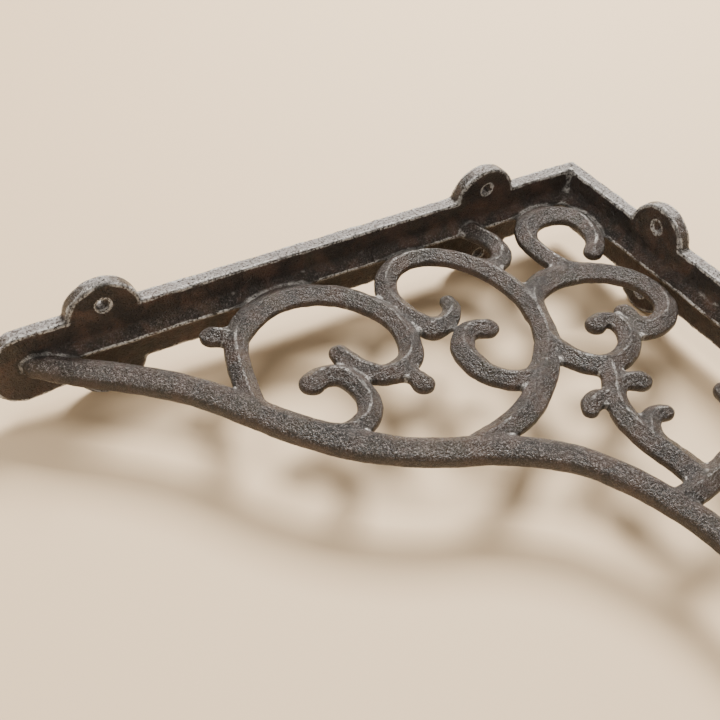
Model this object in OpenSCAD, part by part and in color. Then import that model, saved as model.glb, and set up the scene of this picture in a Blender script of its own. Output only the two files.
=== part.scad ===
// Cast-iron scroll bracket for a wall shelf, lying on its side.
// Two flat rails meet at a right angle, an ogee brace joins their ends, and scrolls fill the corner.
// The drawing plane is the parting plane of the casting: u runs out along the shelf rail, v along the
// wall rail, both from the outer corner, and n is the height above that plane.

/* [Rails] */
// Length of the rail under the shelf, from the outer corner to its rounded tip
shelf_len = 236; // [190:1:290]
// Length of the rail on the wall, from the outer corner to its rounded tip
wall_len = 286; // [230:1:350]
// Width of both rails
rail_w = 24; // [18:0.5:32]
// Thickness of both rails
rail_t = 5.5; // [4:0.1:8]
// Height of the middle rib above the inner face of a rail
rib_h = 4.2; // [3:0.1:6]
// Width of the middle rib where it meets the rail
rib_w = 7; // [5:0.1:8]

/* [Ears] */
// Radius of the round screw ears
ear_r = 13; // [10.5:0.1:15]
// How far the middle of an ear lies inside the edge of the rail
ear_sink = 2.3; // [1:0.1:3.5]
// Distance from the outer corner to the near ears of the shelf rail
shelf_ear_near = 46; // [35:1:70]
// Distance from the tip of the shelf rail to its far ears
shelf_ear_far = 40; // [30:1:60]
// Distance from the outer corner to the near ears of the wall rail
wall_ear_near = 54; // [35:1:80]
// Distance from the tip of the wall rail to its far ears
wall_ear_far = 42; // [30:1:60]
// Radius of the screw holes
hole_r = 2.2; // [1.6:0.1:2.8]
// Metal left between a screw hole and the edge of the rail
hole_gap = 0.5; // [0.3:0.1:1.5]

/* [Scrollwork] */
// Thickness of the brace and the scrolls
web_t = 8; // [5:0.5:12]
// Stroke width of the scrolls, as a factor on their drawn width
stroke_k = 1; // [0.95:0.05:1.25]

/* [Hidden] */

$fn = 48;
iron = [0.20, 0.17, 0.16];
iron_light = [0.30, 0.26, 0.25];
half_w = rail_w / 2;
ear_n = half_w - ear_sink;
hole_n = half_w + hole_gap + hole_r;
// The bracket lies on the rims of its under ears
lie_h = ear_n + ear_r;
// Points along one smooth stretch of a stroke, and along a round end
smooth_n = 4;
cap_n = 8;
// Cutting tools reach this far past what they cut
over = 1;

// The strokes are drawn for rails of these lengths and follow the rails from the line where a
// stroke leans against a rib
drawn_shelf = 236;
drawn_wall = 286;
lean = rail_t + rib_h + 4.3;
drawn_lean = 14;
function along(x, drawn, now) = lean + (x - drawn_lean) * (now - lean) / (drawn - drawn_lean);
function seat(x, drawn, now) = x < drawn_lean ? x * lean / drawn_lean : along(x, drawn, now);
function place(p, k) = [seat(p[0], drawn_shelf, shelf_len), seat(p[1], drawn_wall, wall_len), p[2] * k];

// Strokes: each point is [u, v, half width], from one end of the stroke to the other
brace_line = [[221, 7, 3.6], [212, 14, 4.6], [204, 20, 5], [196, 26.5, 5], [188, 33.5, 5],
    [181, 41, 5], [175, 49, 5], [169, 58, 5], [162, 68.5, 5.1], [154.5, 78, 5.1], [146, 86.4, 5.2],
    [136.2, 94.1, 4.9], [125.2, 100.2, 4.9], [115.2, 104.6, 4.9], [106.3, 109.8, 4.8], [98, 116.2, 4.7],
    [91.1, 123.5, 4.5], [85.9, 132, 4.3], [81.8, 141.3, 4.1], [79, 149.8, 4.1], [76.9, 157.9, 4.2],
    [75.6, 168, 4.3], [74.6, 180, 4.6], [70.8, 194, 4.7], [64, 208, 4.8], [54.4, 221, 4.9],
    [43.2, 233, 5], [31.5, 244, 5], [20, 254.5, 4.6], [9, 264, 3.6]];
// The brace is split across this one of its points
brace_split = 14;
shelf_scroll_line = [[168, 58.5, 3.6], [167.4, 52, 4.2], [165.8, 45, 4], [163.7, 36, 4],
    [159.6, 25.3, 4.3], [153, 18.6, 5.1], [145, 14.4, 5.2], [136, 12.9, 5.2], [126.5, 14.8, 5],
    [117, 21, 4.7], [110.6, 30.5, 4.5], [107.4, 41, 4.3], [108.7, 51, 4.4], [113, 59, 4.3],
    [119.5, 62.6, 4]];
shelf_curl_line = [[166.5, 62, 4], [161.5, 69.5, 4], [155, 76, 4], [147.5, 79, 4], [140, 77, 4],
    [135.8, 71.5, 4], [134.8, 64.5, 4], [137, 56.6, 4.2], [142.4, 53.8, 4.4], [147.2, 55, 4.4]];
shelf_leaf_line = [[120, 62.8, 4], [126, 61.4, 4.2], [130.2, 56, 4.2], [132, 50.6, 4.1],
    [132.6, 46.4, 3.6]];
shelf_knob_line = [[117.6, 62.4, 3.4], [116.7, 67, 3.1], [116, 71.6, 3.9]];
shelf_bud_line = [[160.4, 27.4, 3], [160.6, 23.2, 3.6], [165.2, 19.7, 4.5]];
middle_scroll_line = [[114, 101.6, 4.3], [105.4, 100.3, 4.5], [96.6, 97.9, 4.6], [88, 93.4, 4.6],
    [79.5, 86.6, 4.7], [72, 78.6, 4.6], [65.8, 70, 4.3], [62, 60, 4.1], [60.5, 48.5, 4.1],
    [61.6, 37, 4.2], [66, 26, 4.2], [73, 17.6, 4.2], [82, 13.8, 4.1], [91.5, 14.6, 4.1],
    [98.8, 20.4, 4.1], [102.8, 29, 4.1], [102.9, 37.5, 4.2], [100.6, 45, 4.3], [97.4, 50, 4.2]];
middle_curl_line = [[76, 82.8, 3.4], [83, 85.4, 3.9], [89.3, 83.6, 4.1], [94.1, 78.8, 4.2],
    [96, 72.3, 4.3], [95.6, 64.6, 4.2], [91.4, 58.6, 4.1], [86.6, 56.8, 4], [81.8, 58.6, 4.1]];
middle_leaf_line = [[99.5, 50.5, 4], [94.5, 50, 4], [89.2, 47.2, 3.6], [86.4, 43.6, 3.3],
    [85.8, 40.6, 3]];
middle_branch_line = [[54, 9, 4.4], [51.6, 15.5, 4.2], [51, 22, 4], [53, 27.2, 3.9],
    [57.2, 30.2, 3.7], [62, 30.2, 3.3]];
corner_scroll_line = [[20.6, 40.6, 3.7], [16.4, 37, 3.6], [13.4, 31, 3.7], [12.2, 24.2, 4],
    [14.2, 17.8, 4.7], [20.5, 13.8, 5.3], [27.5, 13.8, 5.2], [33.8, 17.2, 4.5], [38, 24, 4.1],
    [38.6, 32.5, 4], [37.6, 40, 3.9], [35.4, 46, 3.9]];
lower_scroll_line = [[62, 60, 3.8], [57.6, 52, 4.3], [50, 47.6, 5], [42, 46.6, 5.3], [33, 48.4, 5.2],
    [24.6, 53.4, 4.8], [18.6, 60.6, 4.4], [16.5, 68.8, 4.2], [18.2, 77, 4.2], [23.8, 82.8, 4.3],
    [31.4, 84.4, 4.4], [35.4, 83.4, 4.4]];
lower_curl_line = [[64.2, 66.5, 2.8], [67, 73, 3.6], [66.6, 80.2, 4.4], [64.2, 86.8, 4.5],
    [58.2, 91.8, 4.3], [50.8, 91.8, 4.1], [44, 87.8, 3.9], [40.2, 81.5, 3.7], [40.4, 76, 3.4],
    [43.8, 73.4, 3.2], [47.6, 74.5, 3.7]];
lower_leaf_line = [[35, 82.5, 3.8], [34.6, 78, 3.8], [34.1, 73.8, 3.6]];
stem_line = [[57.6, 93.5, 4], [61, 99.6, 4], [65.8, 106.2, 4], [68.4, 114, 4.2], [68.6, 123.6, 4.4],
    [67, 132.6, 4.6], [66, 139, 4.9], [66, 143.5, 4.9]];
stem_bud_line = [[62, 101.4, 3.2], [57.8, 101, 3.5], [53.2, 103.2, 4.2]];
stem_tip_line = [[66.6, 104.6, 3.4], [70.4, 103.4, 3.8], [73.8, 104.2, 3.7], [76.2, 106.2, 2.8]];
stem_side_line = [[67.2, 124, 4.2], [64.2, 119.6, 3.8], [59.8, 117.4, 3.3], [56, 118.2, 2.9]];
wall_scroll_line = [[79.6, 147.5, 3.8], [72, 147.2, 4.3], [61, 145.4, 4.3], [49, 142.6, 4.4],
    [37, 143.6, 4.4], [26, 150, 4.4], [18, 161, 4.4], [14.2, 175, 4.4], [16, 190, 4.4],
    [24, 203, 4.4], [36.5, 210.5, 4.4], [50, 210.5, 4.3], [59.5, 203, 4.2], [61, 193, 4.2],
    [56, 186, 4]];
wall_curl_line = [[28, 206, 3.4], [34, 200.8, 3.8], [40.6, 196, 3.6], [43.6, 189.6, 3.1],
    [40.6, 184, 2.9], [35, 184, 3.8]];
wall_leaf_line = [[57.5, 188, 4], [53, 183, 3.6], [51.3, 178, 2.9], [52.6, 173.6, 1.8]];
wall_bud_line = [[39.2, 142.5, 3.8], [35, 135.4, 3.6], [33, 128.2, 3.5], [31.8, 120.6, 4.2]];

// Point at share t of the smooth curve from b to c, with a before it and d after it
function blend(a, b, c, d, t) = 0.5 * (2 * b + (c - a) * t + (2 * a - 5 * b + 4 * c - d) * t * t
    + (3 * b - a - 3 * c + d) * t * t * t);
function pick(p, i) = p[max(0, min(len(p) - 1, i))];
function smooth(p) = [for (i = [0 : len(p) - 2], k = [0 : smooth_n - 1])
    blend(pick(p, i - 1), p[i], p[i + 1], pick(p, i + 2), k / smooth_n), p[len(p) - 1]];
function heading(p, i) = let (d = pick(p, i + 1) - pick(p, i - 1)) atan2(d[1], d[0]);
function rim(p, i, turn) = [p[i][0] + p[i][2] * cos(heading(p, i) + turn),
    p[i][1] + p[i][2] * sin(heading(p, i) + turn)];
// Outline of a stroke: one side, a round end, the other side and the other round end
function outline(p) = let (m = len(p) - 1) [
    for (i = [0 : m]) rim(p, i, 90),
    for (k = [1 : cap_n - 1]) rim(p, m, 90 - 180 * k / cap_n),
    for (i = [m : -1 : 0]) rim(p, i, -90),
    for (k = [1 : cap_n - 1]) rim(p, 0, -90 - 180 * k / cap_n)];

// From the drawing plane to where the bracket lies, standing on z = 0 with its box over the origin
module lay() {
    translate([shelf_len / 2, wall_len / 2, lie_h])
        rotate([0, 0, 180])
            children();
}

module bar(line, k, t) {
    linear_extrude(height = t, center = true)
        polygon(outline(smooth([for (p = line) place(p, k)])));
}

module stroke(line) bar(line, stroke_k, web_t);
module brace() bar(brace_line, 1, web_t);
// The same strokes, taller, to cut their neighbours with
module stroke_cut(line) bar(line, stroke_k, web_t + 2 * over);
module brace_cut() bar(brace_line, 1, web_t + 2 * over);

// Everything on the wall side of the split in the brace
module wall_side() {
    p = [for (q = brace_line) place(q, 1)];
    reach = shelf_len + wall_len;
    translate([p[brace_split][0], p[brace_split][1], 0])
        rotate([0, 0, heading(p, brace_split)])
            translate([0, -reach, -web_t])
                cube([reach, 2 * reach, 2 * web_t]);
}

// Section of a rail across its width, with the rib on its inner face
module rail_section(len) {
    tip = 1;
    rotate([90, 0, 90])
        linear_extrude(height = len)
            polygon([[0, -half_w], [rail_t, -half_w], [rail_t, -rib_w / 2], [rail_t + rib_h, -tip],
                [rail_t + rib_h, tip], [rail_t, rib_w / 2], [rail_t, half_w], [0, half_w]]);
}

// A rail along u, with its round tip and a mitre at the corner
module rail(len) {
    reach = rail_t + rib_h + over;
    intersection() {
        rail_section(len);
        translate([0, reach, 0])
            rotate([90, 0, 0])
                linear_extrude(height = reach + over) {
                    translate([0, -half_w])
                        square([len - half_w, rail_w]);
                    translate([len - half_w, 0])
                        circle(r = half_w);
                }
        linear_extrude(height = rail_w + 2 * over, center = true)
            polygon([[-over, -over], [len + over, -over], [len + over, reach], [reach, reach]]);
    }
}

// One screw ear standing above the edge of a rail along u
module ear(u) {
    difference() {
        translate([u, 0, ear_n])
            rotate([-90, 0, 0])
                cylinder(r = ear_r, h = rail_t);
        translate([u - ear_r - over, -over, ear_n - ear_r - over])
            cube([2 * ear_r + 2 * over, rail_t + 2 * over, half_w - ear_n + ear_r + over]);
        translate([u, -over, hole_n])
            rotate([-90, 0, 0])
                cylinder(r = hole_r, h = rail_t + 2 * over);
    }
}

// What lies along the shelf rail, turned over onto the wall rail, and what lies on the other side
module on_wall() mirror([1, -1, 0]) children();
module under() mirror([0, 0, 1]) children();
module both_rails() {
    rail(shelf_len);
    on_wall() rail(wall_len);
}

module shelf_rail() color(iron) lay() rail(shelf_len);
module wall_rail() color(iron) lay() on_wall() rail(wall_len);
module shelf_ear_near_top() color(iron) lay() ear(shelf_ear_near);
module shelf_ear_near_under() color(iron) lay() under() ear(shelf_ear_near);
module shelf_ear_far_top() color(iron) lay() ear(shelf_len - shelf_ear_far);
module shelf_ear_far_under() color(iron) lay() under() ear(shelf_len - shelf_ear_far);
module wall_ear_near_top() color(iron) lay() on_wall() ear(wall_ear_near);
module wall_ear_near_under() color(iron) lay() on_wall() under() ear(wall_ear_near);
module wall_ear_far_top() color(iron) lay() on_wall() ear(wall_len - wall_ear_far);
module wall_ear_far_under() color(iron) lay() on_wall() under() ear(wall_len - wall_ear_far);

// A piece of the scrollwork: the first child is the stroke, the others are cut away from it
module piece(tint) {
    color(tint)
        lay()
            difference() {
                children(0);
                children([1 : $children - 1]);
            }
}

module brace_shelf_half() piece(iron_light) {
    brace();
    both_rails();
    wall_side();
}
module brace_wall_half() {
    color(iron_light)
        lay()
            difference() {
                intersection() {
                    brace();
                    wall_side();
                }
                both_rails();
            }
}
module shelf_scroll() piece(iron) {
    stroke(shelf_scroll_line);
    both_rails();
    brace_cut();
}
module shelf_scroll_curl() piece(iron) {
    stroke(shelf_curl_line);
    brace_cut();
    stroke_cut(shelf_scroll_line);
}
module shelf_scroll_leaf() piece(iron) {
    stroke(shelf_leaf_line);
    stroke_cut(shelf_scroll_line);
    stroke_cut(shelf_curl_line);
}
module shelf_scroll_knob() piece(iron) {
    stroke(shelf_knob_line);
    stroke_cut(shelf_scroll_line);
    stroke_cut(shelf_leaf_line);
}
module shelf_scroll_bud() piece(iron) { stroke(shelf_bud_line); stroke_cut(shelf_scroll_line); }
module middle_scroll() piece(iron) {
    stroke(middle_scroll_line);
    both_rails();
    brace_cut();
    stroke_cut(shelf_scroll_line);
}
module middle_scroll_curl() piece(iron) { stroke(middle_curl_line); stroke_cut(middle_scroll_line); }
module middle_scroll_leaf() piece(iron) {
    stroke(middle_leaf_line);
    stroke_cut(middle_scroll_line);
    stroke_cut(middle_curl_line);
}
module middle_branch() piece(iron) {
    stroke(middle_branch_line);
    both_rails();
    stroke_cut(middle_scroll_line);
}
module corner_scroll() piece(iron) { stroke(corner_scroll_line); both_rails(); }
module lower_scroll() piece(iron) {
    stroke(lower_scroll_line);
    both_rails();
    stroke_cut(middle_scroll_line);
    stroke_cut(corner_scroll_line);
}
module lower_scroll_curl() piece(iron) {
    stroke(lower_curl_line);
    stroke_cut(middle_scroll_line);
    stroke_cut(lower_scroll_line);
}
module lower_scroll_leaf() piece(iron) {
    stroke(lower_leaf_line);
    stroke_cut(lower_scroll_line);
    stroke_cut(lower_curl_line);
}
module stem() piece(iron) {
    stroke(stem_line);
    stroke_cut(lower_curl_line);
    stroke_cut(wall_scroll_line);
}
module stem_bud() piece(iron) { stroke(stem_bud_line); stroke_cut(stem_line); stroke_cut(lower_curl_line); }
module stem_tip_leaf() piece(iron) { stroke(stem_tip_line); stroke_cut(stem_line); }
module stem_side_leaf() piece(iron) { stroke(stem_side_line); stroke_cut(stem_line); }
module wall_scroll() piece(iron) {
    stroke(wall_scroll_line);
    both_rails();
    brace_cut();
}
module wall_scroll_curl() piece(iron) { stroke(wall_curl_line); stroke_cut(wall_scroll_line); }
module wall_scroll_leaf() piece(iron) { stroke(wall_leaf_line); stroke_cut(wall_scroll_line); }
module wall_scroll_bud() piece(iron) { stroke(wall_bud_line); stroke_cut(wall_scroll_line); }

shelf_rail();
wall_rail();
shelf_ear_near_top();
shelf_ear_near_under();
shelf_ear_far_top();
shelf_ear_far_under();
wall_ear_near_top();
wall_ear_near_under();
wall_ear_far_top();
wall_ear_far_under();
brace_shelf_half();
brace_wall_half();
shelf_scroll();
shelf_scroll_curl();
shelf_scroll_leaf();
shelf_scroll_knob();
shelf_scroll_bud();
middle_scroll();
middle_scroll_curl();
middle_scroll_leaf();
middle_branch();
corner_scroll();
lower_scroll();
lower_scroll_curl();
lower_scroll_leaf();
stem();
stem_bud();
stem_tip_leaf();
stem_side_leaf();
wall_scroll();
wall_scroll_curl();
wall_scroll_leaf();
wall_scroll_bud();
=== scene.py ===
"""A cast-iron scroll bracket for a wall shelf, lying on its side on a pale floor."""

import math

import bpy
import numpy as np
from mathutils import Euler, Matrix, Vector


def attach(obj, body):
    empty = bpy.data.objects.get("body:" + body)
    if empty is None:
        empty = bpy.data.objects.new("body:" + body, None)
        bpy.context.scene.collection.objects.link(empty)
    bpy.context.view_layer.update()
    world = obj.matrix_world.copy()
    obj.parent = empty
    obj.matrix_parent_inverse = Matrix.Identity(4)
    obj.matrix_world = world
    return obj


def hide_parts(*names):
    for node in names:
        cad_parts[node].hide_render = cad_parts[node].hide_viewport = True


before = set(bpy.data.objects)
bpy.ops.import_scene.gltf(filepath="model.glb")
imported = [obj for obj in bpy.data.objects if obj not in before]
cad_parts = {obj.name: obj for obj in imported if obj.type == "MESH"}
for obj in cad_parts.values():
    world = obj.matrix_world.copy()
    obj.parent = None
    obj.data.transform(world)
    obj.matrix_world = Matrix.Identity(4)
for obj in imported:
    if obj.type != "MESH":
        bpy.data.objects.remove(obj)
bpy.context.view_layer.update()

# Sizes in millimetres on the drawing plane of the casting: u runs out along the shelf rail and v
# along the wall rail, both from the outer corner, and n is the height above the parting plane
SHELF_LEN, WALL_LEN = 236.0, 286.0
HALF_W, RAIL_T = 12.0, 5.5
RIB_H, RIB_HALF = 4.2, 3.5
EAR_R, EAR_N, HOLE_N, HOLE_R = 13.0, 9.7, 14.7, 2.2
SHELF_EARS, WALL_EARS = (46.0, 196.0), (54.0, 244.0)
# The shelf rail grows wider and drops a little from here on, over this run, into a paddle at its tip
PADDLE_FROM, PADDLE_RUN, PADDLE_WIDER, PADDLE_DROP = 196.0, 34.0, 1.4, 1.5
# Where the rib stops before the tip of a rail, how deep in the rail it starts, and the cosine of the
# lean of its flanks
RIB_STOP, RIB_FOOT, RIB_LEAN = 19.0, 2.0, 0.77
# Rounding of the rail's edges, its ends and its ears
EDGE_ROUND, END_ROUND, EAR_ROUND = 0.9, 1.2, 1.4
# Fillets between strokes, between a stroke and a rail, and between the rails, where the last starts at
# a distance inside the corner and is full after a short run
STROKE_FILLET, RAIL_FILLET, CORNER_FILLET, CORNER_FROM, CORNER_RUN = 1.6, 2.4, 3.0, 3.0, 2.0
# How far round a block strokes still count, and how many of its spots are worked on at a time
STROKE_REACH, BATCH = 9.0, 40000
# Past a seam a piece dips under its neighbour at this slope and is cut off after this distance
SEAM_DIP, SEAM_PAST = 0.15, 1.2
# Depth at which ridges and hollows are felt for, and the difference that counts as a full one
FEEL_DEPTH, FEEL_FULL = 1.1, 0.45
# Size of the lumps that the sand leaves, and their depth
LUMPS = ((9.0, 0.16), (3.4, 0.13), (1.7, 0.10))
LATTICE = 64
VOXEL = 0.5
SEED = 7

# Strokes of the scrollwork: points [u, v, half width]
STROKES = {
    "brace": [[221, 7, 3.6], [212, 14, 4.6], [204, 20, 5], [196, 26.5, 5], [188, 33.5, 5],
        [181, 41, 5], [175, 49, 5], [169, 58, 5], [162, 68.5, 5.1], [154.5, 78, 5.1],
        [146, 86.4, 5.2], [136.2, 94.1, 4.9], [125.2, 100.2, 4.9], [115.2, 104.6, 4.9], [106.3, 109.8, 4.8],
        [98, 116.2, 4.7], [91.1, 123.5, 4.5], [85.9, 132, 4.3], [81.8, 141.3, 4.1], [79, 149.8, 4.1],
        [76.9, 157.9, 4.2], [75.6, 168, 4.3], [74.6, 180, 4.6], [70.8, 194, 4.7], [64, 208, 4.8],
        [54.4, 221, 4.9], [43.2, 233, 5], [31.5, 244, 5], [20, 254.5, 4.6], [9, 264, 3.6]],
    "shelf_scroll": [[168, 58.5, 3.6], [167.4, 52, 4.2], [165.8, 45, 4], [163.7, 36, 4],
        [159.6, 25.3, 4.3], [153, 18.6, 5.1], [145, 14.4, 5.2], [136, 12.9, 5.2], [126.5, 14.8, 5],
        [117, 21, 4.7], [110.6, 30.5, 4.5], [107.4, 41, 4.3], [108.7, 51, 4.4], [113, 59, 4.3],
        [119.5, 62.6, 4]],
    "shelf_curl": [[166.5, 62, 4], [161.5, 69.5, 4], [155, 76, 4], [147.5, 79, 4], [140, 77, 4],
        [135.8, 71.5, 4], [134.8, 64.5, 4], [137, 56.6, 4.2], [142.4, 53.8, 4.4], [147.2, 55, 4.4]],
    "shelf_leaf": [[120, 62.8, 4], [126, 61.4, 4.2], [130.2, 56, 4.2], [132, 50.6, 4.1],
        [132.6, 46.4, 3.6]],
    "shelf_knob": [[117.6, 62.4, 3.4], [116.7, 67, 3.1], [116, 71.6, 3.9]],
    "shelf_bud": [[160.4, 27.4, 3], [160.6, 23.2, 3.6], [165.2, 19.7, 4.5]],
    "middle_scroll": [[114, 101.6, 4.3], [105.4, 100.3, 4.5], [96.6, 97.9, 4.6], [88, 93.4, 4.6],
        [79.5, 86.6, 4.7], [72, 78.6, 4.6], [65.8, 70, 4.3], [62, 60, 4.1], [60.5, 48.5, 4.1],
        [61.6, 37, 4.2], [66, 26, 4.2], [73, 17.6, 4.2], [82, 13.8, 4.1], [91.5, 14.6, 4.1],
        [98.8, 20.4, 4.1], [102.8, 29, 4.1], [102.9, 37.5, 4.2], [100.6, 45, 4.3], [97.4, 50, 4.2]],
    "middle_curl": [[76, 82.8, 3.4], [83, 85.4, 3.9], [89.3, 83.6, 4.1], [94.1, 78.8, 4.2],
        [96, 72.3, 4.3], [95.6, 64.6, 4.2], [91.4, 58.6, 4.1], [86.6, 56.8, 4],
        [81.8, 58.6, 4.1]],
    "middle_leaf": [[99.5, 50.5, 4], [94.5, 50, 4], [89.2, 47.2, 3.6], [86.4, 43.6, 3.3],
        [85.8, 40.6, 3]],
    "middle_branch": [[54, 9, 4.4], [51.6, 15.5, 4.2], [51, 22, 4], [53, 27.2, 3.9],
        [57.2, 30.2, 3.7], [62, 30.2, 3.3]],
    "corner_scroll": [[20.6, 40.6, 3.7], [16.4, 37, 3.6], [13.4, 31, 3.7], [12.2, 24.2, 4],
        [14.2, 17.8, 4.7], [20.5, 13.8, 5.3], [27.5, 13.8, 5.2], [33.8, 17.2, 4.5], [38, 24, 4.1],
        [38.6, 32.5, 4], [37.6, 40, 3.9], [35.4, 46, 3.9]],
    "lower_scroll": [[62, 60, 3.8], [57.6, 52, 4.3], [50, 47.6, 5], [42, 46.6, 5.3], [33, 48.4, 5.2],
        [24.6, 53.4, 4.8], [18.6, 60.6, 4.4], [16.5, 68.8, 4.2], [18.2, 77, 4.2], [23.8, 82.8, 4.3],
        [31.4, 84.4, 4.4], [35.4, 83.4, 4.4]],
    "lower_curl": [[64.2, 66.5, 2.8], [67, 73, 3.6], [66.6, 80.2, 4.4], [64.2, 86.8, 4.5],
        [58.2, 91.8, 4.3], [50.8, 91.8, 4.1], [44, 87.8, 3.9], [40.2, 81.5, 3.7], [40.4, 76, 3.4],
        [43.8, 73.4, 3.2], [47.6, 74.5, 3.7]],
    "lower_leaf": [[35, 82.5, 3.8], [34.6, 78, 3.8], [34.1, 73.8, 3.6]],
    "stem": [[57.6, 93.5, 4], [61, 99.6, 4], [65.8, 106.2, 4], [68.4, 114, 4.2], [68.6, 123.6, 4.4],
        [67, 132.6, 4.6], [66, 139, 4.9], [66, 143.5, 4.9]],
    "stem_bud": [[62, 101.4, 3.2], [57.8, 101, 3.5], [53.2, 103.2, 4.2]],
    "stem_tip": [[66.6, 104.6, 3.4], [70.4, 103.4, 3.8], [73.8, 104.2, 3.7], [76.2, 106.2, 2.8]],
    "stem_side": [[67.2, 124, 4.2], [64.2, 119.6, 3.8], [59.8, 117.4, 3.3], [56, 118.2, 2.9]],
    "wall_scroll": [[79.6, 147.5, 3.8], [72, 147.2, 4.3], [61, 145.4, 4.3], [49, 142.6, 4.4],
        [37, 143.6, 4.4], [26, 150, 4.4], [18, 161, 4.4], [14.2, 175, 4.4], [16, 190, 4.4],
        [24, 203, 4.4], [36.5, 210.5, 4.4], [50, 210.5, 4.3], [59.5, 203, 4.2], [61, 193, 4.2],
        [56, 186, 4]],
    "wall_curl": [[28, 206, 3.4], [34, 200.8, 3.8], [40.6, 196, 3.6], [43.6, 189.6, 3.1],
        [40.6, 184, 2.9], [35, 184, 3.8]],
    "wall_leaf": [[57.5, 188, 4], [53, 183, 3.6], [51.3, 178, 2.9], [52.6, 173.6, 1.8]],
    "wall_bud": [[39.2, 142.5, 3.8], [35, 135.4, 3.6], [33, 128.2, 3.5], [31.8, 120.6, 4.2]],
}
BRACE_SPLIT = 14
SCROLL_NODES = {"shelf_scroll": "shelf_scroll", "shelf_curl": "shelf_scroll_curl",
    "shelf_leaf": "shelf_scroll_leaf", "shelf_knob": "shelf_scroll_knob", "shelf_bud": "shelf_scroll_bud",
    "middle_scroll": "middle_scroll", "middle_curl": "middle_scroll_curl",
    "middle_leaf": "middle_scroll_leaf", "middle_branch": "middle_branch",
    "corner_scroll": "corner_scroll", "lower_scroll": "lower_scroll", "lower_curl": "lower_scroll_curl",
    "lower_leaf": "lower_scroll_leaf", "stem": "stem", "stem_bud": "stem_bud",
    "stem_tip": "stem_tip_leaf", "stem_side": "stem_side_leaf", "wall_scroll": "wall_scroll",
    "wall_curl": "wall_scroll_curl", "wall_leaf": "wall_scroll_leaf", "wall_bud": "wall_scroll_bud"}

# Ridge height, edge height and softness of the section of the brace and of the scrolls
BRACE_SECTION = (4.3, 1.4, 0.5)
SCROLL_SECTION = (4.1, 1.0, 0.0)
# Height of the drawing plane over the floor: the bracket lies on the rims of its under ears
LIE_H = EAR_N + EAR_R

# Where the camera stands, in metres, and how it is turned, in degrees
CAMERA_PLACE = (-0.1491, -0.1263, 0.2523)
CAMERA_TURN = (48.28, -2.42, -30.48)


class Wire:
    """An output in a node tree. Arithmetic on it adds Math nodes to the tree."""

    def __init__(self, tree, socket=None):
        self.tree, self.socket = tree, socket

    def add(self, kind, inputs=(), **settings):
        """Adds a node: its settings first, then the values or links of its inputs."""
        node = self.tree.nodes.new(kind)
        for key, value in settings.items():
            if key == "stops":
                ramp = node.color_ramp.elements
                while len(ramp) < len(value):
                    ramp.new(0.5)
                for stop, (at, colour) in zip(ramp, value):
                    stop.position, stop.color = at, (*colour, 1)
            else:
                setattr(node, key, value)
        for key, value in inputs.items() if isinstance(inputs, dict) else enumerate(inputs):
            if isinstance(value, Wire):
                self.tree.links.new(value.socket, node.inputs[key])
            else:
                node.inputs[key].default_value = value
        return Wire(self.tree, node.outputs[0] if len(node.outputs) else None)

    def out(self, name):
        """Another output of the same node."""
        return Wire(self.tree, self.socket.node.outputs[name])

    def math(self, operation, *values):
        return self.add("ShaderNodeMath", values, operation=operation)

    def __add__(self, other):
        return self.math("ADD", self, other)

    def __sub__(self, other):
        return self.math("SUBTRACT", self, other)

    def __rsub__(self, other):
        return self.math("SUBTRACT", other, self)

    def __mul__(self, other):
        return self.math("MULTIPLY", self, other)

    __radd__, __rmul__ = __add__, __mul__

    def between(self, low, high):
        """0 below low, 1 above high and a straight line in between."""
        return self.add("ShaderNodeMapRange", {"Value": self, "From Min": low, "From Max": high})

    def tint(self, share, colour):
        """This colour, turned towards another by a share."""
        mixed = self.add("ShaderNodeMix", {0: share, 6: self, 7: colour}, data_type="RGBA")
        return mixed.out_at(2)

    def out_at(self, place):
        return Wire(self.tree, self.socket.node.outputs[place])


def line_tree():
    """Geometry Nodes that run a smooth line through a stroke's points, with its half width."""
    tree = bpy.data.node_groups.new("stroke line", "GeometryNodeTree")
    face = tree.interface
    face.new_socket("Geometry", in_out="INPUT", socket_type="NodeSocketGeometry")
    face.new_socket("Step", in_out="INPUT", socket_type="NodeSocketFloat")
    face.new_socket("Geometry", in_out="OUTPUT", socket_type="NodeSocketGeometry")
    points = Wire(tree).add("NodeGroupInput")
    step = points.out("Step")
    radius = points.add("GeometryNodeInputRadius")
    smooth = points.add("GeometryNodeCurveSplineType", [points], spline_type="CATMULL_ROM")
    wide = points.add("GeometryNodeStoreNamedAttribute",
        {"Geometry": smooth, "Name": "half_width", "Value": radius})
    fine = points.add("GeometryNodeResampleCurve", {"Curve": wide, "Length": step}, mode="LENGTH")
    line = points.add("GeometryNodeCurveToMesh", {"Curve": fine})
    whole = points.add("GeometryNodeRealizeInstances", [line])
    points.add("NodeGroupOutput", [whole])
    return tree


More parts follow.
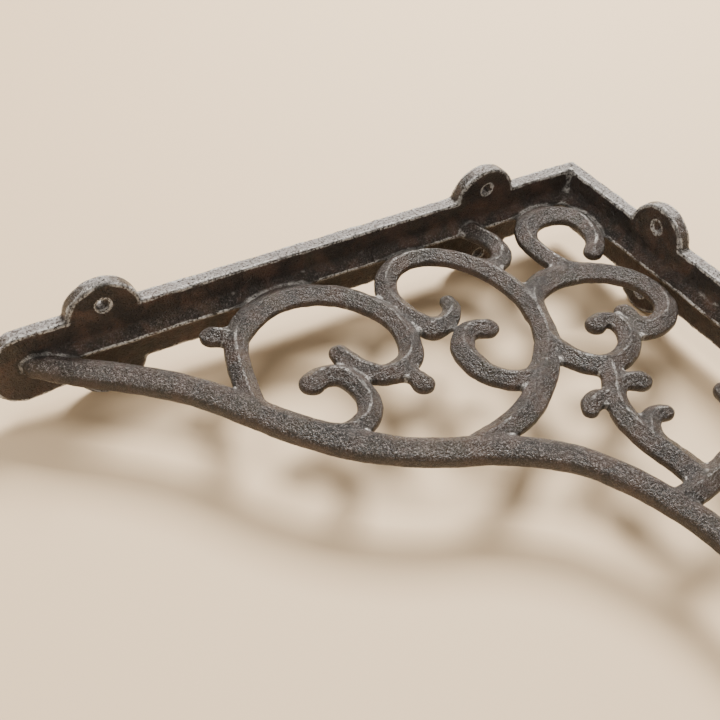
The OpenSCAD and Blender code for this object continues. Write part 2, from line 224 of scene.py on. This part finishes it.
def stroke_samples(name, rows, tree):
    """Points close together along a stroke: place on the plane, half width and heading."""
    curve = bpy.data.curves.new(name + "_points", "CURVE")
    curve.dimensions = "3D"
    spline = curve.splines.new("POLY")
    spline.points.add(len(rows) - 1)
    for point, (u, v, half) in zip(spline.points, rows):
        point.co = (u, v, 0, 1)
        point.radius = half
    guide = bpy.data.objects.new(name + "_guide", curve)
    bpy.context.scene.collection.objects.link(guide)
    change = guide.modifiers.new("line", "NODES")
    change.node_group = tree
    for item in tree.interface.items_tree:
        if item.name == "Step":
            change[item.identifier] = 0.35
    bpy.context.view_layer.update()
    graph = bpy.context.evaluated_depsgraph_get()
    mesh = bpy.data.meshes.new_from_object(guide.evaluated_get(graph), preserve_all_data_layers=True,
        depsgraph=graph)
    place = read(mesh.vertices, "co", 3)[:, :2]
    half = read(mesh.attributes["half_width"].data, "value", 1)[:, 0]
    bpy.data.objects.remove(guide)
    bpy.data.meshes.remove(mesh)
    heading = np.gradient(place, axis=0)
    heading /= np.linalg.norm(heading, axis=1)[:, None] + 1e-9
    return place, half, heading


def read(items, key, width):
    flat = np.zeros(len(items) * width, np.float32)
    items.foreach_get(key, flat)
    return flat.reshape(-1, width).astype(float)


def join(a, b, k):
    """The nearer of two distances, with a fillet of about k where they meet."""
    h = np.maximum(k - np.abs(a - b), 0) / k
    return np.minimum(a, b) - h * h * k / 4


def meet(a, b, k):
    """The farther of two distances, with the edge between them rounded."""
    return -join(-a, -b, k)


class Block:
    """A box of grid points on the drawing plane, where the distances of all parts are worked out."""

    def __init__(self, low, high):
        self.low = np.floor(np.array(low) / VOXEL) * VOXEL
        self.count = (np.ceil((np.array(high) - self.low) / VOXEL)).astype(int) + 1
        self.axes = [(a + VOXEL * np.arange(c)).astype(np.float32) for a, c in zip(self.low, self.count)]
        self.u = self.axes[0][:, None, None]
        self.v = self.axes[1][None, :, None]
        self.n = self.axes[2][None, None, :]
        self.rise = np.abs(self.n)
        self.found = {}

    def far(self):
        return np.full(self.count, 30.0, np.float32)

    def stroke(self, name):
        """Distance from the surface of one stroke, or None where it is nowhere near this block."""
        if name in self.found:
            return self.found[name]
        place, half, _ = LINES[name]
        high = self.low[:2] + self.count[:2] * VOXEL
        keep = np.all((place > self.low[:2] - STROKE_REACH) & (place < high + STROKE_REACH), axis=1)
        if not keep.any():
            self.found[name] = None
            return None
        close, wide = place[keep], half[keep]
        flat_u, flat_v = np.meshgrid(self.axes[0], self.axes[1], indexing="ij")
        spots = np.stack([flat_u.ravel(), flat_v.ravel()], 1)
        best = np.empty(len(spots), int)
        for start in range(0, len(spots), BATCH):
            some = spots[start:start + BATCH]
            gap = ((some[:, None, :] - close[None, :, :]) ** 2).sum(2)
            gap = np.sqrt(gap) - 0.35 * wide[None, :]
            best[start:start + BATCH] = gap.argmin(1)
        dist = np.linalg.norm(spots - close[best], axis=1)
        shape = tuple(self.count[:2]) + (1,)
        dist, wide = (a.reshape(shape).astype(np.float32) for a in (dist, wide[best]))
        ridge, edge, soft = BRACE_SECTION if name == "brace" else SCROLL_SECTION
        ridge = np.minimum(ridge, wide * 1.02)
        share = dist / wide
        roof = 1 - (np.sqrt(share * share + 0.0003) - 0.017)
        dome = np.sqrt(np.clip(1 - share * share, 0, 1)) ** 1.3
        height = edge + (ridge - edge) * ((1 - soft) * roof + soft * dome)
        slope = 1 / np.sqrt(1 + ((1 - soft) * (ridge - edge) / wide) ** 2)
        top = (self.rise - np.maximum(height, -2)) * slope
        self.found[name] = meet(top, dist - wide, 0.6).astype(np.float32)
        return self.found[name]

    def rail(self, along, out, length, ears):
        """Distance from a rail that runs along one axis of the plane, with its rib and its ears."""
        paddle = np.clip((along - PADDLE_FROM) / PADDLE_RUN, 0, 1) if length == SHELF_LEN else 0
        half = HALF_W + PADDLE_WIDER * paddle
        tip = np.maximum(along - (length - half), 0)
        across = self.n + PADDLE_DROP * paddle
        rim = np.sqrt(tip * tip + across * across) - half
        slab = np.abs(out - RAIL_T / 2) - RAIL_T / 2
        plate = meet(meet(rim, slab, EDGE_ROUND), -along, END_ROUND)
        rise = (out - RAIL_T) / RIB_H
        flank = (self.rise - RIB_HALF * (1 - rise)) * RIB_LEAN
        rib = meet(flank, along - (length - RIB_STOP), 1.5)
        rib = np.maximum(meet(rib, -along, 1.0), RIB_FOOT - out)
        both = join(plate, meet(rib, out - RAIL_T - RIB_H - 0.1, 1.0), 1.6)
        from_ear = np.minimum(np.abs(along - ears[0]), np.abs(along - ears[1]))
        round_ear = np.sqrt(from_ear ** 2 + (self.rise - EAR_N) ** 2) - EAR_R
        ear = meet(round_ear, slab, EAR_ROUND)
        hole = HOLE_R - np.sqrt(from_ear ** 2 + (self.rise - HOLE_N) ** 2)
        return meet(join(both, ear, 0.5), hole, 0.4).astype(np.float32)

    def rails(self):
        if "rails" not in self.found:
            self.found["rails"] = (self.rail(self.u, self.v, SHELF_LEN, SHELF_EARS),
                self.rail(self.v, self.u, WALL_LEN, WALL_EARS))
        return self.found["rails"]

    def casting(self):
        """Distance from the surface of the whole casting, fillets included."""
        total = None
        for name in LINES:
            one = self.stroke(name)
            if one is not None:
                total = one if total is None else join(total, one, STROKE_FILLET)
        shelf, wall = self.rails()
        inner = np.clip((np.minimum(self.u, self.v) - CORNER_FROM) / CORNER_RUN, 0, 1)
        both = inner * join(shelf, wall, CORNER_FILLET) + (1 - inner) * np.minimum(shelf, wall)
        return both if total is None else join(total, both, RAIL_FILLET)

    def others(self, mine):
        """Distance from the nearest part apart from the one named."""
        shelf, wall = self.rails()
        least = self.far()
        if mine != "shelf rail":
            least = np.minimum(least, shelf)
        if mine != "wall rail":
            least = np.minimum(least, wall)
        for name in LINES:
            if name != mine and self.stroke(name) is not None:
                least = np.minimum(least, self.stroke(name))
        return least

    def lumps(self):
        """The uneven skin that the sand leaves, the same for every piece of the casting."""
        total = 0
        for size, depth in LUMPS:
            parts = [np.floor(a / size) for a in (self.axes[0], self.axes[1], self.axes[2])]
            fraction = [a / size - p for a, p in zip(self.axes, parts)]
            fraction = [f * f * (3 - 2 * f) for f in fraction]
            index = [(p + LATTICE).astype(int) for p in parts]
            sand = SAND[size]
            value = 0
            for i in (0, 1):
                for j in (0, 1):
                    for k in (0, 1):
                        weight = ((fraction[0] if i else 1 - fraction[0])[:, None, None]
                            * (fraction[1] if j else 1 - fraction[1])[None, :, None]
                            * (fraction[2] if k else 1 - fraction[2])[None, None, :])
                        value = value + weight * sand[np.ix_((index[0] + i) % LATTICE,
                            (index[1] + j) % LATTICE, (index[2] + k) % LATTICE)]
            total = total + depth * value
        return total.astype(np.float32)


def skin(block, field):
    """A closed mesh of the surface where the field crosses zero, one point in each crossed cell."""
    solid = field < 0
    corners = [(i, j, k) for i in (0, 1) for j in (0, 1) for k in (0, 1)]
    cells = tuple(s - 1 for s in field.shape)
    cut = lambda a, c: a[c[0]:c[0] + cells[0], c[1]:c[1] + cells[1], c[2]:c[2] + cells[2]]
    count = sum(cut(solid, c).astype(np.int8) for c in corners)
    spots = np.argwhere((count > 0) & (count < 8))
    value = {c: field[spots[:, 0] + c[0], spots[:, 1] + c[1], spots[:, 2] + c[2]] for c in corners}
    place, seen = np.zeros((len(spots), 3)), np.zeros(len(spots))
    for a in corners:
        for axis in range(3):
            if a[axis]:
                continue
            b = tuple(1 if x == axis else a[x] for x in range(3))
            fa, fb = value[a], value[b]
            crossed = (fa < 0) != (fb < 0)
            t = np.where(crossed, fa / np.where(crossed, fa - fb, 1), 0)
            point = np.array(a, float)[None, :].repeat(len(spots), 0)
            point[:, axis] += t
            place += point * crossed[:, None]
            seen += crossed
    place = spots + place / seen[:, None]
    index = np.full(cells, -1)
    index[tuple(spots.T)] = np.arange(len(spots))
    quads = []
    for axis in range(3):
        b, c = (axis + 1) % 3, (axis + 2) % 3
        first = np.take(solid, range(field.shape[axis] - 1), axis)
        last = np.take(solid, range(1, field.shape[axis]), axis)
        where = np.argwhere(first != last)
        inside = first[tuple(where.T)]
        ok = (where[:, b] > 0) & (where[:, c] > 0) & (where[:, b] < cells[b]) & (where[:, c] < cells[c])
        where, inside = where[ok], inside[ok]
        ring = []
        for db, dc in ((1, 1), (0, 1), (0, 0), (1, 0)):
            at = where.copy()
            at[:, b] -= db
            at[:, c] -= dc
            ring.append(index[tuple(at.T)])
        ring = np.stack(ring, 1)
        quads.append(np.where(inside[:, None], ring, ring[:, ::-1]))
    return place, np.concatenate(quads)


def sample(field, place):
    """The field between its grid points."""
    low = np.clip(np.floor(place).astype(int), 0, np.array(field.shape) - 2)
    part = place - low
    total = 0
    for i in (0, 1):
        for j in (0, 1):
            for k in (0, 1):
                weight = 1
                for x, on in enumerate((i, j, k)):
                    weight = weight * (part[:, x] if on else 1 - part[:, x])
                total = total + weight * field[low[:, 0] + i, low[:, 1] + j, low[:, 2] + k]
    return total


def cast_piece(name, nodes, slot, iron, low, high, own):
    """A piece of the casting: what of its skin lies nearer to this part than to any other."""
    block = Block(low, high)
    casting = block.casting() + block.lumps()
    past = own(block)
    field = np.maximum(casting + SEAM_DIP * np.maximum(past, 0), past - SEAM_PAST)
    for axis in range(3):
        for end in (0, -1):
            face = [slice(None)] * 3
            face[axis] = end
            field[tuple(face)] = np.maximum(field[tuple(face)], 0.05)
    place, quads = skin(block, field)
    slopes = np.gradient(casting)
    normal = np.stack([sample(s, place) for s in slopes], 1)
    normal /= np.linalg.norm(normal, axis=1)[:, None] + 1e-9
    reach = FEEL_DEPTH / VOXEL
    inner = sample(casting, place - normal * reach) + FEEL_DEPTH
    outer = sample(casting, place + normal * reach) - FEEL_DEPTH
    mm = block.low + place * VOXEL
    mm = mm * (-1, -1, 1) + (SHELF_LEN / 2, WALL_LEN / 2, LIE_H)
    mesh = bpy.data.meshes.new(name)
    mesh.vertices.add(len(mm))
    mesh.vertices.foreach_set("co", (mm / 1000).astype(np.float32).ravel())
    mesh.loops.add(quads.size)
    mesh.loops.foreach_set("vertex_index", quads.astype(np.int32).ravel())
    mesh.polygons.add(len(quads))
    mesh.polygons.foreach_set("loop_start", np.arange(0, quads.size, 4, dtype=np.int32))
    mesh.update(calc_edges=True)
    mesh.shade_smooth()
    for key, felt in (("ridge", inner), ("hollow", -outer)):
        share = np.clip(felt / FEEL_FULL, 0, 1).astype(np.float32)
        mesh.attributes.new(key, "FLOAT", "POINT").data.foreach_set("value", share)
    mesh.normals_split_custom_set_from_vertices(normal * (-1, -1, 1))
    mesh.materials.append(iron)
    piece = bpy.data.objects.new(name, mesh)
    bpy.context.scene.collection.objects.link(piece)
    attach(piece, "root")
    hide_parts(*nodes)
    return piece


def sand_cast_iron(name, wear_and_highlight, fleck_glint, rust, level_highlight):
    """Waxed black iron from the sand: coarse grain, a brown bloom, ridges lightened partly by wear and
    partly as painted highlight, painted highlight and glints on level faces and painted shade in hollows.
    """
    material = bpy.data.materials.new(name)
    material.use_nodes = True
    tree = material.node_tree
    tree.nodes.clear()
    start = Wire(tree)
    place = start.add("ShaderNodeTexCoord").out("Object")

    def noise(scale, detail=3.0, rough=0.55, warp=0.0):
        return start.add("ShaderNodeTexNoise", {"Vector": place, "Scale": scale, "Detail": detail,
            "Roughness": rough, "Distortion": warp})

    ridge = start.add("ShaderNodeAttribute", attribute_name="ridge").out("Fac")
    hollow = start.add("ShaderNodeAttribute", attribute_name="hollow").out("Fac")
    facing = start.add("ShaderNodeSeparateXYZ", [start.add("ShaderNodeNewGeometry").out("Normal")])
    level = facing.out("Z").math("ABSOLUTE", facing.out("Z"))
    # How level a face lies, which steers where the painted glints fall
    flat = level.between(0.25, 0.8)
    # Faces turned nearly straight up or down, which get the painted highlight
    rim = level.between(0.86, 0.97)
    cloud = noise(55, 3).between(0.38, 0.62)
    bloom = noise(120, 4, 0.6, 0.4).between(0.45, 0.66)
    olive = noise(80, 2).between(0.52, 0.7)
    grain = noise(1150, 2.5, 0.75)
    fine = noise(2600, 2, 0.6)
    flecks_and_glints = noise(1500, 2, 0.8).between(0.54, 0.62)
    colour = start.add("ShaderNodeMix", {0: cloud, 6: (0.010, 0.0065, 0.0048, 1),
        7: (0.025, 0.016, 0.011, 1)}, data_type="RGBA").out_at(2)
    colour = colour.tint(bloom * rust, (0.080, 0.043, 0.028, 1))
    colour = colour.tint(olive * 0.35, (0.042, 0.036, 0.020, 1))
    # Painted highlight: faces turned straight up or down, mostly the rail tops, lightened towards pale grey
    colour = colour.tint(rim * level_highlight * grain.between(0.36, 0.58), (0.44, 0.41, 0.39, 1))
    # Ridges lightened towards near white: partly rubbed wear, partly painted highlight along the ridge
    # lines
    rubbed_and_highlit = (ridge.between(0.40, 0.66) * grain.between(0.40, 0.54)) * wear_and_highlight
    colour = colour.tint(rubbed_and_highlit, (0.74, 0.71, 0.67, 1))
    # Light flecks: a few everywhere, mostly painted glints on faces turned up or down
    colour = colour.tint(flecks_and_glints * fleck_glint * (0.2 + flat * 0.8), (0.30, 0.26, 0.24, 1))
    # Painted shade: hollows and creases darkened towards black
    colour = colour.tint(hollow.between(0.2, 0.9) * 0.8, (0.007, 0.006, 0.005, 1))
    rough = 0.24 + grain.between(0.3, 0.7) * 0.16 - rubbed_and_highlit * 0.05 + hollow * 0.25
    height = grain + fine * 0.4
    bump = start.add("ShaderNodeBump", {"Height": height, "Strength": 1.0, "Distance": 0.001})
    shader = start.add("ShaderNodeBsdfPrincipled", {"Base Color": colour, "Roughness": rough,
        "Metallic": 0.0, "Normal": bump, "Specular IOR Level": 0.55})
    start.add("ShaderNodeOutputMaterial", {"Surface": shader})
    return material


def lamp(name, place, target, size, power, colour=(1, 1, 1)):
    """A soft square studio light turned to a point."""
    data = bpy.data.lights.new(name, "AREA")
    data.shape, data.size, data.energy, data.color = "SQUARE", size, power, colour
    light = bpy.data.objects.new(name, data)
    light.location = place
    light.rotation_euler = (Vector(target) - Vector(place)).to_track_quat("-Z", "Y").to_euler()
    bpy.context.scene.collection.objects.link(light)


def studio():
    """Pale floor, soft lights and the camera."""
    mesh = bpy.data.meshes.new("floor")
    mesh.from_pydata([(-4, -4, 0), (4, -4, 0), (4, 4, 0), (-4, 4, 0)], [], [(0, 1, 2, 3)])
    pale = bpy.data.materials.new("pale_floor")
    pale.use_nodes = True
    shader = pale.node_tree.nodes["Principled BSDF"]
    shader.inputs["Base Color"].default_value = (0.80, 0.60, 0.38, 1)
    shader.inputs["Roughness"].default_value = 0.7
    mesh.materials.append(pale)
    floor = bpy.data.objects.new("floor", mesh)
    bpy.context.scene.collection.objects.link(floor)
    world = bpy.data.worlds.new("room")
    world.use_nodes = True
    world.node_tree.nodes["Background"].inputs["Color"].default_value = (1.0, 0.94, 0.86, 1)
    world.node_tree.nodes["Background"].inputs["Strength"].default_value = 0.3
    bpy.context.scene.world = world
    lamp("window", (0.56, 0.66, 0.88), (0, 0, 0), 0.45, 33, (1.0, 0.97, 0.92))
    lamp("ceiling", (-0.3, 0.2, 1.1), (0, 0, 0), 0.5, 6, (1.0, 0.96, 0.90))
    lamp("fill", (-0.9, -0.9, 0.55), (0, 0, 0), 0.8, 9, (1.0, 0.93, 0.85))
    data = bpy.data.cameras.new("camera")
    data.lens, data.sensor_width = 53.13, 36
    camera = bpy.data.objects.new("camera", data)
    camera.location = CAMERA_PLACE
    camera.rotation_euler = Euler([math.radians(a) for a in CAMERA_TURN])
    bpy.context.scene.collection.objects.link(camera)
    bpy.context.scene.camera = camera


def near(*names, spread=8.0):
    """The box round some strokes, with room for their fillets."""
    spots = np.concatenate([LINES[n][0] for n in names])
    low, high = spots.min(0) - spread, spots.max(0) + spread
    return (*low, -7.0), (*high, 7.0)


def mine(name):
    """How far a point is past the middle between this stroke and the nearest other part."""
    return lambda block: (block.stroke(name) - block.others(name)) / 2


def brace_half(wall_side):
    """The same for one half of the brace, which ends at the split too."""
    place, _, heading = LINES["brace"]
    split = np.array(STROKES["brace"][BRACE_SPLIT][:2])
    ahead = heading[np.linalg.norm(place - split, axis=1).argmin()] * (-1 if wall_side else 1)

    def past(block):
        beyond = (block.u - split[0]) * ahead[0] + (block.v - split[1]) * ahead[1]
        return np.maximum((block.stroke("brace") - block.others("brace")) / 2, beyond)

    return past


EAR_CUT, EAR_REACH = HALF_W - 0.8, 14.6


def ear_zone(block, on_shelf):
    """Negative where the metal belongs to one of the ears of a rail."""
    along, ears = (block.u, SHELF_EARS) if on_shelf else (block.v, WALL_EARS)
    from_ear = np.minimum(np.abs(along - ears[0]), np.abs(along - ears[1]))
    return np.maximum(EAR_CUT - block.rise, from_ear - EAR_REACH)


def rail_share(on_shelf):
    """How far a point is past the end of what belongs to a rail without its ears."""
    def past(block):
        own = block.rails()[0 if on_shelf else 1]
        rest = block.others("shelf rail" if on_shelf else "wall rail")
        return np.maximum((own - rest) / 2, -ear_zone(block, on_shelf))

    return past


def ear_share(on_shelf, top):
    """The same for one ear."""
    def past(block):
        return np.maximum(ear_zone(block, on_shelf), -block.n if top else block.n)

    return past


rail_iron = sand_cast_iron("rail_iron", wear_and_highlight=0.75, fleck_glint=0.35, rust=0.8, level_highlight=0.9)
brace_iron = sand_cast_iron("brace_iron", wear_and_highlight=0.8, fleck_glint=0.6, rust=0.45, level_highlight=0.0)
scroll_iron = sand_cast_iron("scroll_iron", wear_and_highlight=0.85, fleck_glint=0.45, rust=0.5, level_highlight=0.0)

dice = np.random.default_rng(SEED)
SAND = {size: (dice.random((LATTICE,) * 3) * 2 - 1).astype(np.float32) for size, _ in LUMPS}
lines = line_tree()
LINES = {name: stroke_samples(name, rows, lines) for name, rows in STROKES.items()}

cast_piece("shelf_rail_cast", ["shelf_rail"], "rail_iron", rail_iron, (-1.5, -1.5, -14.5), (238, 14, 14.5),
    rail_share(True))
cast_piece("wall_rail_cast", ["wall_rail"], "rail_iron", rail_iron, (-1.5, -1.5, -14.5), (14, 288, 14.5),
    rail_share(False))
for on_shelf, side, ears in ((True, "shelf", SHELF_EARS), (False, "wall", WALL_EARS)):
    for spot, along in zip(("near", "far"), ears):
        for top in (True, False):
            name = f"{side}_ear_{spot}_{'top' if top else 'under'}"
            low, high = [along - 16, -1.5, 9.5], [along + 16, 7.5, 24.0]
            if not on_shelf:
                low[:2], high[:2] = low[1::-1], high[1::-1]
            if not top:
                low[2], high[2] = -24.0, -9.5
            cast_piece(name + "_cast", [name], "rail_iron", rail_iron, low, high, ear_share(on_shelf, top))
for wall_side, name in ((False, "brace_shelf_half"), (True, "brace_wall_half")):
    rows = np.array(STROKES["brace"][BRACE_SPLIT:] if wall_side else STROKES["brace"][:BRACE_SPLIT + 1])
    low, high = rows[:, :2].min(0) - 9, rows[:, :2].max(0) + 9
    cast_piece(name + "_cast", [name], "brace_iron", brace_iron, (*low, -7.5), (*high, 7.5),
        brace_half(wall_side))
for name, node in SCROLL_NODES.items():
    cast_piece(node + "_cast", [node], "scroll_iron", scroll_iron, *near(name), mine(name))

studio()
